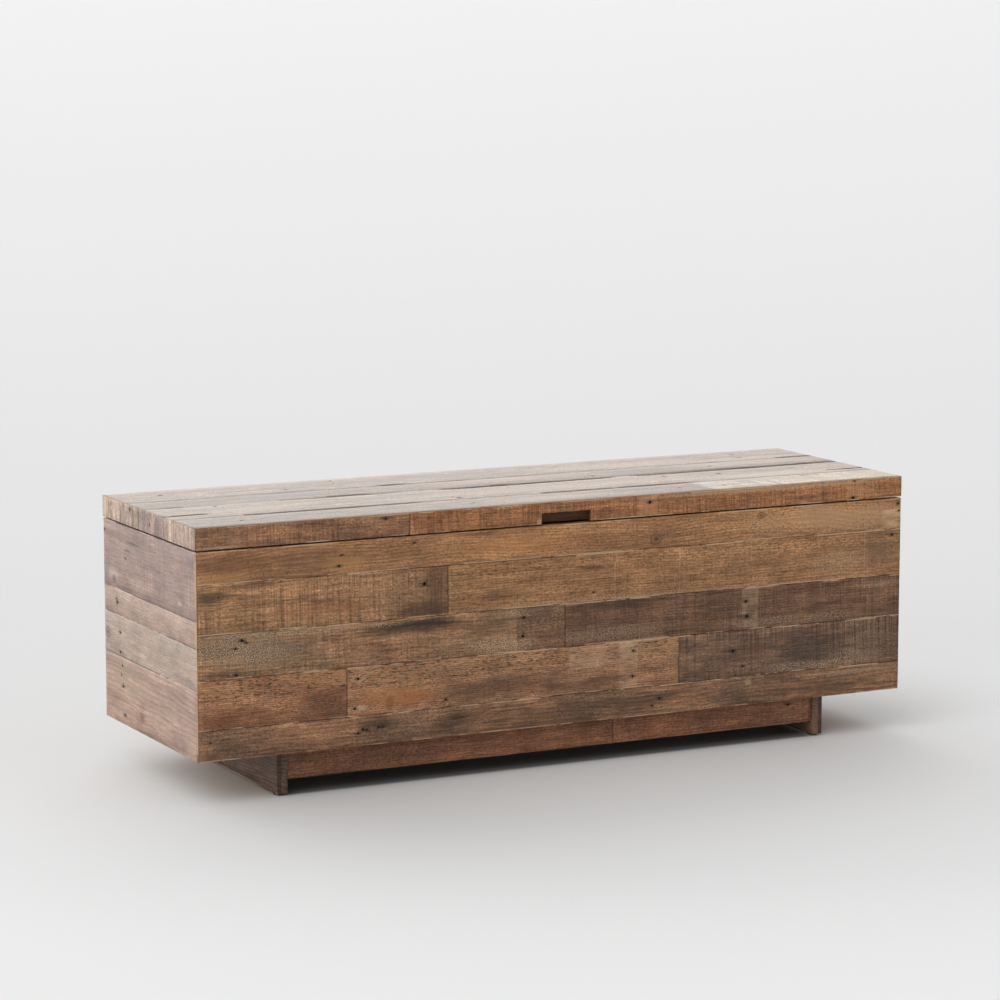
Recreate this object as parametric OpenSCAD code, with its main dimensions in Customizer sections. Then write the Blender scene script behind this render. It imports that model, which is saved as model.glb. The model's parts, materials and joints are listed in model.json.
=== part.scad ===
// Storage chest of reclaimed boards: a mitred box on a recessed base, with a hinged lid.
// X runs along the length, +Y points to the back and +Z up. The origin is on the floor,
// under the middle of the whole chest with its hinge knuckles.

/* [Overall] */
// Length of the lid, end to end
lid_l = 1270; // [1100:10:1500]
// Depth of the box and of the lid, front to back
box_d = 400; // [360:5:480]
// Height of the box walls
wall_h = 325; // [300:5:400]
// Height of the base, floor to box
base_h = 71; // [60:1:100]
// Height of the lid's edge
lid_h = 34.5; // [34:0.5:40]
// How far the lid passes the box at each end
lid_over = 1; // [0:0.5:5]
// Thickness of the wall and lid boards
board_t = 20; // [18:0.5:21]

/* [Finger notch] */
// Width of the notch in the lid's front edge
notch_w = 88; // [60:1:120]
// Height of the notch
notch_h = 17.5; // [12:0.5:24]
// Depth of the notch
notch_d = 15; // [10:0.5:16]

/* [Base] */
// Distance from each end of the box to the base side
base_inset = 138; // [60:1:200]
// Setback of the base sides from the front and the back
base_setback = 20; // [10:1:40]
// Thickness of the base sides and rails
base_t = 18; // [15:0.5:22]
// How far a rail lies behind the ends of the base sides
rail_setback = 4; // [0:0.5:10]
// Gap under the rails
rail_gap = 25; // [10:1:40]
// Thickness of the glides
glide_t = 3; // [2:0.5:5]

/* [Hinges] */
// Length of a hinge
hinge_l = 76; // [50:1:100]
// Distance from the middle of the chest to the middle of a hinge
hinge_x = 430; // [250:10:480]
// Thickness of a hinge leaf
leaf_t = 1.2; // [1:0.1:1.4]
// Outer radius of the knuckles
knuckle_r = 3.5; // [3:0.1:4]
// Radius of the hinge pin
pin_r = 1.5; // [1.2:0.1:1.8]
// Knuckles on one hinge
knuckles = 5; // [3:2:7]
// How far the drawn lid is open, in degrees
open_angle = 0; // [0:5:95]

/* [Inside] */
// Height of the cleats along the bottom of the front and back walls
cleat_h = 20; // [15:1:30]
// Width of those cleats
cleat_w = 25; // [20:1:35]
// Thickness of the bottom panel
panel_t = 12; // [9:1:15]
// Leg of the triangular corner posts
post_w = 25; // [18:1:40]
// Width of a lid batten
batten_w = 60; // [40:1:90]
// Thickness of a lid batten
batten_t = 12; // [9:0.5:12]
// Distance from the middle of the lid to the outer battens
batten_x = 420; // [300:10:480]

/* [Hidden] */
$fn = 48;

// Heights of the main levels
rim_z = base_h + wall_h;
leaf_play = 0.1;
seam = 2 * leaf_t + leaf_play;
lid_z = rim_z + seam;
panel_z = base_h + cleat_h;
axis_z = rim_z + seam / 2;

// Lengths that follow
box_l = lid_l - 2 * lid_over;
inner_l = box_l - 2 * board_t;
inner_d = box_d - 2 * board_t;
base_l = box_l - 2 * base_inset;
base_d = box_d - 2 * base_setback;
rail_l = base_l - 2 * base_t;

// The knuckles stand behind the box, so the box lies a little forward of the origin
knuckle_gap = 0.2;
knuckle_reach = 2 * knuckle_r + knuckle_gap;
box_y = -knuckle_reach / 2;
front_y = box_y - box_d / 2;
back_y = box_y + box_d / 2;
axis_y = back_y + knuckle_gap + knuckle_r;

// Rows of wall boards: heights of the row edges above the box bottom, and the butt joints
// in each row, measured from the wall's left end as seen from outside
front_rows = [0, 48, 126, 196, 274, wall_h];
front_cuts = [[], [249, 842], [632], [424], []];
left_rows = [0, 110, 176, 218, wall_h];
left_cuts = [[], [], [], []];
right_rows = [0, 110, 217, wall_h];
right_cuts = [[], [], []];
back_rows = [0, 110, 217, wall_h];
back_cuts = [[], [560], []];

// Rows of lid boards: distances of the row edges from the front, and their butt joints
lid_rows = [0, 90, 210, 284, box_d];
lid_cuts = [[913], [], [], []];
front_edge_cuts = [359];
left_edge_cuts = [box_d - 239, box_d - 110];

// Place of the butt joint in the front rail
rail_joint_x = 99;

// Each board of a set of rows, as [left end, right end, lower edge, upper edge]
function row_boards(rows, cuts, span) = [
    for (r = [0 : len(cuts) - 1])
    let (ends = concat([0], cuts[r], [span]))
    for (i = [0 : len(ends) - 2])
    [ends[i] - span / 2, ends[i + 1] - span / 2, rows[r], rows[r + 1]]
];
front_boards = row_boards(front_rows, front_cuts, box_l);
left_boards = row_boards(left_rows, left_cuts, box_d);
right_boards = row_boards(right_rows, right_cuts, box_d);
back_boards = row_boards(back_rows, back_cuts, box_l);
lid_boards = row_boards(lid_rows, lid_cuts, lid_l);
front_edges = row_boards([0, lid_h], [front_edge_cuts], lid_l);
left_edges = row_boards([0, lid_h], [left_edge_cuts], box_d);
right_edges = row_boards([0, lid_h], [[]], box_d);
back_edges = row_boards([0, lid_h], [[]], lid_l);

// Board colours, in the order of the boards
front_tones = ["#68503f", "#7d5b44", "#7f6048", "#614d40", "#7b604b", "#654d3e", "#85644a",
    "#84624a", "#8e684a"];
left_tones = ["#96705a", "#94785f", "#966f5a", "#85695c"];
right_tones = ["#8a6850", "#7b604b", "#85695c"];
back_tones = ["#7d5b44", "#85644a", "#654d3e", "#8e684a"];
lid_tones = ["#a08b78", "#a8907c", "#a58f7c", "#9a8674", "#a3917f"];
front_edge_tones = ["#7d5d47", "#865c42"];
left_edge_tones = ["#96735f", "#83695c", "#9a7d69"];
right_edge_tone = "#8a6850";
back_edge_tone = "#865c42";
batten_tone = "#b39a78";
cleat_tone = "#b8a080";
panel_tone = "#c4ab84";
side_tone = "#5d463a";
rail_tones = ["#5c4132", "#644534"];
steel_tone = "#8c8880";
screw_tone = "#b5b1a6";
rubber_tone = "#2b2826";

// Screws: head radius, head height, shank radius, whole length
hinge_screw = [2.8, 1.1, 1.5, 16];
batten_screw = [3.5, 2.5, 1.75, 26];
base_screw = [4, 3, 2, 50];
screw_tip = 4;
screw_fit = 0.15;
hinge_screw_x = [-26, 0, 26];
base_screw_x = [for (i = [-2 : 2]) i * rail_l * 0.225];
batten_screw_x = 18;

// Running clearances in a hinge
bore_fit = 0.05;
knuckle_play = 0.3;
plate_play = 0.1;
pin_head_r = 2.6;
pin_head_h = 1.2;

// Bumpers on the rim and glides under the base sides
bumper_r = 5;
bumper_t = seam - 0.3;
bumper_x = box_l / 2 - 44;
glide_r = 8;
glide_inset = 16;

// Gaps left round the inner pieces, and the chamfer on the ends of a batten
post_clear = 12;
panel_clear = 1;
batten_clear = 5;
batten_chamfer = 6;

// ---- Placing ----

// Sets a wall drawn along X, outer face at Y = 0, on one side of the box
module on_side(angle, reach, z) {
    translate([0, box_y, z])
    rotate([0, 0, angle])
    translate([0, -reach, 0])
    children();
}

// Swings what belongs to the lid about the hinge axis
module on_lid() {
    translate([0, axis_y, axis_z])
    rotate([-open_angle, 0, 0])
    translate([0, -axis_y, -axis_z])
    children();
}

// ---- Boards ----

// One wall board. Its end is mitred where it reaches the end of the wall
module wall_board(b, span) {
    inner = span / 2 - board_t;
    translate([0, 0, b[2]])
    linear_extrude(b[3] - b[2])
    polygon([[b[0], 0], [b[1], 0], [min(b[1], inner), board_t], [max(b[0], -inner), board_t]]);
}

module front_board(i) {
    color(front_tones[i])
    on_side(0, box_d / 2, base_h)
    wall_board(front_boards[i], box_l);
}

module left_board(i) {
    color(left_tones[i])
    on_side(-90, box_l / 2, base_h)
    wall_board(left_boards[i], box_d);
}

module right_board(i) {
    color(right_tones[i])
    on_side(90, box_l / 2, base_h)
    wall_board(right_boards[i], box_d);
}

module back_board(i) {
    color(back_tones[i])
    on_side(180, box_d / 2, base_h)
    wall_board(back_boards[i], box_l);
}

// ---- Lid ----

// A bar along X whose section narrows downwards at 45 degrees on both sides
module mitre_bar(width, length) {
    rotate([90, 0, 90])
    translate([0, 0, -length / 2])
    linear_extrude(length)
    polygon([
        [-width / 2, lid_h],
        [width / 2, lid_h],
        [width / 2 - board_t, lid_h - board_t],
        [board_t - width / 2, lid_h - board_t]
    ]);
}

// One board of the lid's top, mitred where it meets the edge strips
module top_board(b) {
    intersection() {
        translate([b[0], b[2] - box_d / 2, lid_h - board_t])
        cube([b[1] - b[0], b[3] - b[2], board_t]);
        mitre_bar(box_d, lid_l);
        rotate([0, 0, 90])
        mitre_bar(lid_l, box_d);
    }
}

// One strip of the lid's edge: mitred under the top boards and at the lid's corners
module edge_strip(b, span) {
    intersection() {
        wall_board(b, span);
        rotate([90, 0, 90])
        translate([0, 0, -span / 2])
        linear_extrude(span)
        polygon([[0, 0], [board_t, 0], [board_t, lid_h - board_t], [0, lid_h]]);
    }
}

module lid_board(i) {
    color(lid_tones[i])
    on_lid()
    translate([0, box_y, lid_z])
    top_board(lid_boards[i]);
}

// The second strip holds the finger notch, a blind pocket open to the front and below
module lid_front_edge(i) {
    color(front_edge_tones[i])
    on_lid()
    on_side(0, box_d / 2, lid_z)
    difference() {
        edge_strip(front_edges[i], lid_l);
        translate([-notch_w / 2, -1, -1])
        cube([notch_w, notch_d + 1, notch_h + 1]);
    }
}

module lid_left_edge(i) {
    color(left_edge_tones[i])
    on_lid()
    on_side(-90, lid_l / 2, lid_z)
    edge_strip(left_edges[i], box_d);
}

module lid_right_edge() {
    color(right_edge_tone)
    on_lid()
    on_side(90, lid_l / 2, lid_z)
    edge_strip(right_edges[0], box_d);
}

module lid_back_edge() {
    color(back_edge_tone)
    on_lid()
    on_side(180, box_d / 2, lid_z)
    edge_strip(back_edges[0], lid_l);
}

// A batten lies across the underside of the lid boards; its lower corners are chamfered
module lid_batten(x) {
    reach = inner_d / 2 - batten_clear;
    low = lid_z + lid_h - board_t - batten_t;
    color(batten_tone)
    on_lid()
    translate([x - batten_w / 2, box_y, low])
    rotate([90, 0, 90])
    linear_extrude(batten_w)
    polygon([
        [batten_chamfer - reach, 0],
        [reach - batten_chamfer, 0],
        [reach, batten_chamfer],
        [reach, batten_t],
        [-reach, batten_t],
        [-reach, batten_chamfer]
    ]);
}

// ---- Screws ----

// A countersunk screw whose head lies at Z = 0 and whose tip points down
module screw(s) {
    translate([0, 0, -s[1]])
    cylinder(h = s[1], r1 = s[2], r2 = s[0]);
    translate([0, 0, screw_tip - s[3]])
    cylinder(h = s[3] - screw_tip - s[1], r = s[2]);
    translate([0, 0, -s[3]])
    cylinder(h = screw_tip, r1 = s[2] / 4, r2 = s[2]);
}

// Two screws hold each lid board to each batten
module lid_batten_screws() {
    low = lid_z + lid_h - board_t - batten_t;
    color(screw_tone)
    on_lid()
    for (x = [-batten_x, 0, batten_x])
    for (side = [-batten_screw_x, batten_screw_x])
    for (r = [0 : len(lid_rows) - 2]) {
        near = max(lid_rows[r], board_t + batten_clear);
        far = min(lid_rows[r + 1], box_d - board_t - batten_clear);
        translate([x + side, front_y + (near + far) / 2, low + 0.2])
        mirror([0, 0, 1])
        screw(batten_screw);
    }
}

// Screws from the bottom panel through the cleats into the base rails
module base_screws() {
    rail_y = base_d / 2 - rail_setback - base_t / 2;
    color(screw_tone)
    for (x = base_screw_x)
    for (y = [-rail_y, rail_y])
    translate([x, box_y + y, panel_z + panel_t - 0.2])
    screw(base_screw);
}

// ---- Inside the box ----

module bottom_panel() {
    color(panel_tone)
    translate([panel_clear - inner_l / 2, box_y + panel_clear - inner_d / 2, panel_z])
    cube([inner_l - 2 * panel_clear, inner_d - 2 * panel_clear, panel_t]);
}

module cleat(angle) {
    color(cleat_tone)
    on_side(angle, inner_d / 2, base_h)
    translate([-inner_l / 2, 0, 0])
    cube([inner_l, cleat_w, cleat_h]);
}

// Triangular posts glued into the corners of the box
module corner_post(x_side, y_side) {
    low = panel_z + panel_t;
    color(cleat_tone)
    translate([x_side * inner_l / 2, box_y + y_side * inner_d / 2, low])
    linear_extrude(rim_z - post_clear - low)
    polygon([[0, 0], [-x_side * post_w, 0], [0, -y_side * post_w]]);
}

module rim_bumpers() {
    color(rubber_tone)
    for (x = [-bumper_x, bumper_x])
    for (y = [board_t / 2 - box_d / 2, box_d / 2 - board_t / 2])
    translate([x, box_y + y, rim_z])
    cylinder(h = bumper_t, r = bumper_r);
}

// ---- Base ----

module base_side(x_side) {
    color(side_tone)
    translate([x_side * (base_l - base_t) / 2, box_y, glide_t])
    translate([-base_t / 2, -base_d / 2, 0])
    cube([base_t, base_d, base_h - glide_t]);
}

// A rail between the base sides, from x0 to x1
module base_rail(angle, x0, x1, tone) {
    color(tone)
    on_side(angle, base_d / 2 - rail_setback, rail_gap)
    translate([x0, 0, 0])
    cube([x1 - x0, base_t, base_h - rail_gap]);
}

module glides() {
    color(rubber_tone)
    for (x = [base_t / 2 - base_l / 2, base_l / 2 - base_t / 2])
    for (y = [glide_inset - base_d / 2, base_d / 2 - glide_inset])
    translate([x, box_y + y, 0])
    cylinder(h = glide_t, r = glide_r);
}

// ---- Hinges ----

// Knuckle number k of a hinge, with the tab that ties it to its leaf
module knuckle(k, plate_z) {
    pitch = hinge_l / knuckles;
    translate([k * pitch - hinge_l / 2 + knuckle_play / 2, 0, 0]) {
        rotate([0, 90, 0])
        cylinder(h = pitch - knuckle_play, r = knuckle_r);
        translate([0, -knuckle_r - knuckle_gap - plate_play, plate_z])
        cube([pitch - knuckle_play, knuckle_r + knuckle_gap + plate_play, leaf_t]);
    }
}

// One hinge leaf about the pin's axis. The box leaf has the even knuckles and its plate
// lies under the axis; the lid leaf has the odd ones and its plate lies over it
module hinge_leaf(first, plate_z, sink_up) {
    plate_w = board_t - plate_play;
    edge = knuckle_r + knuckle_gap + plate_play;
    difference() {
        union() {
            translate([-hinge_l / 2, -edge - plate_w, plate_z])
            cube([hinge_l, plate_w, leaf_t]);
            for (k = [first : 2 : knuckles - 1])
            knuckle(k, plate_z);
        }
        translate([-hinge_l / 2 - 1, 0, 0])
        rotate([0, 90, 0])
        cylinder(h = hinge_l + 2, r = pin_r + bore_fit);
        for (x = hinge_screw_x)
        translate([x, -knuckle_r - knuckle_gap - board_t / 2, plate_z])
        cylinder(
            h = leaf_t,
            r1 = hinge_screw[sink_up ? 2 : 0] + screw_fit,
            r2 = hinge_screw[sink_up ? 0 : 2] + screw_fit
        );
    }
}

module box_leaf(x) {
    color(steel_tone)
    translate([x, axis_y, axis_z])
    hinge_leaf(0, -seam / 2, true);
}

module lid_leaf(x) {
    color(steel_tone)
    on_lid()
    translate([x, axis_y, axis_z])
    hinge_leaf(1, seam / 2 - leaf_t, false);
}

module hinge_pin(x) {
    color(screw_tone)
    translate([x - hinge_l / 2, axis_y, axis_z])
    rotate([0, 90, 0]) {
        cylinder(h = hinge_l, r = pin_r);
        translate([0, 0, -pin_head_h])
        cylinder(h = pin_head_h, r = pin_head_r);
        translate([0, 0, hinge_l])
        cylinder(h = pin_head_h, r = pin_head_r);
    }
}

module hinge_box_screws() {
    color(screw_tone)
    for (hinge = [-hinge_x, hinge_x])
    for (x = hinge_screw_x)
    translate([hinge + x, back_y - board_t / 2, rim_z + leaf_t - plate_play])
    screw(hinge_screw);
}

module hinge_lid_screws() {
    color(screw_tone)
    on_lid()
    for (hinge = [-hinge_x, hinge_x])
    for (x = hinge_screw_x)
    translate([hinge + x, back_y - board_t / 2, lid_z - leaf_t + plate_play])
    mirror([0, 0, 1])
    screw(hinge_screw);
}

// ---- Drawing ----

for (i = [0 : len(front_boards) - 1])
    front_board(i);
for (i = [0 : len(left_boards) - 1])
    left_board(i);
for (i = [0 : len(right_boards) - 1])
    right_board(i);
for (i = [0 : len(back_boards) - 1])
    back_board(i);
for (i = [0 : len(lid_boards) - 1])
    lid_board(i);
for (i = [0 : len(front_edges) - 1])
    lid_front_edge(i);
for (i = [0 : len(left_edges) - 1])
    lid_left_edge(i);
lid_right_edge();
lid_back_edge();
lid_batten(-batten_x);  // lid_batten_left
lid_batten(0);  // lid_batten_middle
lid_batten(batten_x);  // lid_batten_right
lid_batten_screws();
bottom_panel();
cleat(0);  // front_cleat
cleat(180);  // back_cleat
corner_post(-1, -1);  // corner_post_front_left
corner_post(1, -1);  // corner_post_front_right
corner_post(-1, 1);  // corner_post_back_left
corner_post(1, 1);  // corner_post_back_right
base_side(-1);  // base_side_left
base_side(1);  // base_side_right
base_rail(0, -rail_l / 2, rail_joint_x, rail_tones[0]);  // base_rail_front_left
base_rail(0, rail_joint_x, rail_l / 2, rail_tones[1]);  // base_rail_front_right
base_rail(180, -rail_l / 2, rail_l / 2, rail_tones[0]);  // base_rail_back
base_screws();
glides();
rim_bumpers();
box_leaf(-hinge_x);  // hinge_left_box_leaf
lid_leaf(-hinge_x);  // hinge_left_lid_leaf
hinge_pin(-hinge_x);  // hinge_left_pin
box_leaf(hinge_x);  // hinge_right_box_leaf
lid_leaf(hinge_x);  // hinge_right_lid_leaf
hinge_pin(hinge_x);  // hinge_right_pin
hinge_box_screws();
hinge_lid_screws();
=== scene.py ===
"""Looks of a storage chest of reclaimed boards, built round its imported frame."""

import json
import math

import bmesh
import bpy
from mathutils import Matrix, Vector, noise


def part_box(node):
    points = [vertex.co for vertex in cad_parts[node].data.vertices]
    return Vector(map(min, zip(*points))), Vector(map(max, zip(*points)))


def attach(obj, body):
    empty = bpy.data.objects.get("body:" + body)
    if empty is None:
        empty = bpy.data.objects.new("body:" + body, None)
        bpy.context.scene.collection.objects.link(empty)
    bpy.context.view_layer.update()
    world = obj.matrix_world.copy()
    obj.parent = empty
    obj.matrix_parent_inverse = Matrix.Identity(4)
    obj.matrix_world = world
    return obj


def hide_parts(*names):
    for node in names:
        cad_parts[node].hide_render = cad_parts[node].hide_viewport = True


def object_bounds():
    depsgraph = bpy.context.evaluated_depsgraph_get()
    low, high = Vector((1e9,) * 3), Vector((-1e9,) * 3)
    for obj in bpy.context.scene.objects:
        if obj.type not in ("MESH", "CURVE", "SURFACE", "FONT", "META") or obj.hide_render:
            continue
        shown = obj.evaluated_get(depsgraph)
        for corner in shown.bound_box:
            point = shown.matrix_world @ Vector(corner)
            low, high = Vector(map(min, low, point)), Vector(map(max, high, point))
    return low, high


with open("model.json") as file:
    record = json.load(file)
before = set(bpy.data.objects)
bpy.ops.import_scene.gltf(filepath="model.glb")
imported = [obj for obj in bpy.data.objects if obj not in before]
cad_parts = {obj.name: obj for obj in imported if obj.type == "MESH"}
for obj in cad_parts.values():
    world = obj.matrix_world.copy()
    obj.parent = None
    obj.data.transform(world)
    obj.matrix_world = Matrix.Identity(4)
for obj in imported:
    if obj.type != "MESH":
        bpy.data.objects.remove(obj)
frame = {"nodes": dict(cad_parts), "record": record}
cad_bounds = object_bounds()

MM = 0.001
X, Y, Z = 0, 1, 2


# ---- Camera, light and floor ----

CHEST_LOW, CHEST_HIGH = cad_bounds
CHEST_MIDDLE = (CHEST_LOW + CHEST_HIGH) / 2
CAMERA_TURN = -26.841
CAMERA_RISE = 8.418
CEILING_LIGHT = 0.42
SWEEP_LIGHT = 3.2
SIDE_LIGHT = 1.3
ROOM_LIGHT = 0.31
KEY_LIGHT = 0.65


def look_from(azimuth, elevation):
    """The direction from the chest to a viewer or a lamp."""
    a, e = math.radians(azimuth), math.radians(elevation)
    return Vector((math.sin(a) * math.cos(e), -math.cos(a) * math.cos(e), math.sin(e)))


def add_camera():
    data = bpy.data.cameras.new("camera")
    data.lens = 125.0
    camera = bpy.data.objects.new("camera", data)
    bpy.context.scene.collection.objects.link(camera)
    back = look_from(CAMERA_TURN, CAMERA_RISE)
    aim = CHEST_MIDDLE + Vector((0.0, 0.0313, 0.1873))
    camera.location = aim + back * 5.737
    camera.rotation_mode = "QUATERNION"
    camera.rotation_quaternion = (-back).to_track_quat("-Z", "Y")
    bpy.context.scene.camera = camera


def light_studio():
    """A soft white room, brightest overhead and behind the chest, and one broad key light."""
    world = bpy.data.worlds.new("studio")
    world.use_nodes = True
    tree = world.node_tree
    kit = Kit(tree)
    toward = kit.node("TexCoord", {}, {}, "Generated")
    side = kit.node("SeparateXYZ", {}, {0: toward}, X)
    back = kit.node("SeparateXYZ", {}, {0: toward}, Y)
    up = kit.node("SeparateXYZ", {}, {0: toward}, Z)
    ceiling = kit.step(0.15, 0.9, up) * CEILING_LIGHT
    sweep = kit.step(0.35, 0.95, back) * kit.step(-0.1, 0.12, up) * SWEEP_LIGHT
    window = kit.step(-0.15, -0.95, side) * kit.step(-0.1, 0.12, up) * SIDE_LIGHT
    background = tree.nodes.new("ShaderNodeBackground")
    tree.links.new((ceiling + sweep + window + ROOM_LIGHT).socket, background.inputs["Strength"])
    output = tree.nodes.new("ShaderNodeOutputWorld")
    tree.links.new(background.outputs[0], output.inputs["Surface"])
    bpy.context.scene.world = world
    bpy.context.scene.view_settings.view_transform = "Standard"

    data = bpy.data.lights.new("key_light", "SUN")
    data.energy = KEY_LIGHT
    data.angle = math.radians(50)
    key = bpy.data.objects.new("key_light", data)
    bpy.context.scene.collection.objects.link(key)
    key.rotation_euler = (-look_from(-55, 45)).to_track_quat("-Z", "Y").to_euler()


# ---- Material nodes ----


class Value:
    """A socket of a material, with the arithmetic that the finishes use."""

    def __init__(self, kit, socket):
        self.kit = kit
        self.socket = socket

    def __add__(self, other):
        return self.kit.math("ADD", self, other)

    def __radd__(self, other):
        return self.kit.math("ADD", other, self)

    def __sub__(self, other):
        return self.kit.math("SUBTRACT", self, other)

    def __rsub__(self, other):
        return self.kit.math("SUBTRACT", other, self)

    def __mul__(self, other):
        return self.kit.math("MULTIPLY", self, other)

    def __rmul__(self, other):
        return self.kit.math("MULTIPLY", other, self)

    def __truediv__(self, other):
        return self.kit.math("DIVIDE", self, other)

    def __pow__(self, other):
        return self.kit.math("POWER", self, other)


class Kit:
    """Makes the nodes of one finish."""

    def __init__(self, tree):
        self.tree = tree
        self.tree.nodes.clear()

    def node(self, kind, settings, sockets, output=0):
        """One node: its settings first, then its sockets, each a value or a link."""
        made = self.tree.nodes.new("ShaderNode" + kind)
        for key, setting in settings.items():
            setattr(made, key, setting)
        for key, given in sockets.items():
            socket = made.inputs[key]
            if isinstance(given, Value):
                self.tree.links.new(given.socket, socket)
            elif socket.type == "RGBA":
                socket.default_value = (*given, 1.0)
            else:
                socket.default_value = given
        return Value(self, made.outputs[output])

    def math(self, operation, a, b=0.0):
        return self.node("Math", {"operation": operation}, {0: a, 1: b})

    def axes(self):
        """The three object coordinates, in metres."""
        place = self.node("TexCoord", {}, {}, "Object")
        return [self.node("SeparateXYZ", {}, {0: place}, axis) for axis in (X, Y, Z)]

    def vector(self, x, y, z):
        return self.node("CombineXYZ", {}, {0: x, 1: y, 2: z})

    def noise(self, vector, scale=1.0, detail=2.0, rough=0.5, bend=0.0):
        sockets = {"Vector": vector, "Scale": scale, "Detail": detail}
        sockets.update({"Roughness": rough, "Distortion": bend})
        return self.node("TexNoise", {}, sockets)

    def step(self, low, high, value):
        """0 below low and 1 above high, smooth between; low may be the larger."""
        sockets = {"Value": value, "From Min": low, "From Max": high}
        return self.node("MapRange", {"interpolation_type": "SMOOTHSTEP"}, sockets)

    def mix(self, share, a, b, blend="MIX"):
        settings = {"data_type": "RGBA", "blend_type": blend}
        return self.node("Mix", settings, {0: share, 6: a, 7: b}, 2)

    def shade(self, colour, factor):
        """The colour made lighter or darker by a factor that varies."""
        return self.node("VectorMath", {"operation": "SCALE"}, {0: colour, "Scale": factor})

    def bump(self, height, depth, strength=1.0):
        return self.node("Bump", {}, {"Height": height, "Distance": depth, "Strength": strength})

    def finish(self, sockets):
        shader = self.node("BsdfPrincipled", {}, sockets)
        output = self.tree.nodes.new("ShaderNodeOutputMaterial")
        self.tree.links.new(shader.socket, output.inputs["Surface"])


def new_finish(name):
    material = bpy.data.materials.new(name)
    material.use_nodes = True
    return material, Kit(material.node_tree)


def tone(red, green, blue):
    """A colour given as a paint chart gives it, 0 to 255, as the light that it sends back."""
    return tuple((c / 255 / 12.92) if c <= 10 else ((c / 255 + 0.055) / 1.055) ** 2.4
                 for c in (red, green, blue))


# ---- Wood ----

INK = tone(60, 50, 40)
RUST = tone(38, 24, 16)
CHALK = tone(204, 176, 142)
# The dark inside recesses: grime together with painted shade
GRIME_AND_SHADE = tone(30, 20, 14)


def ellipse(kit, u, v, spot):
    """Distance from the middle of a spot, in units of its own half sizes."""
    across = (u - spot[0]) / spot[2]
    up = (v - spot[1]) / spot[3]
    return kit.math("SQRT", across * across + up * up)


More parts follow.
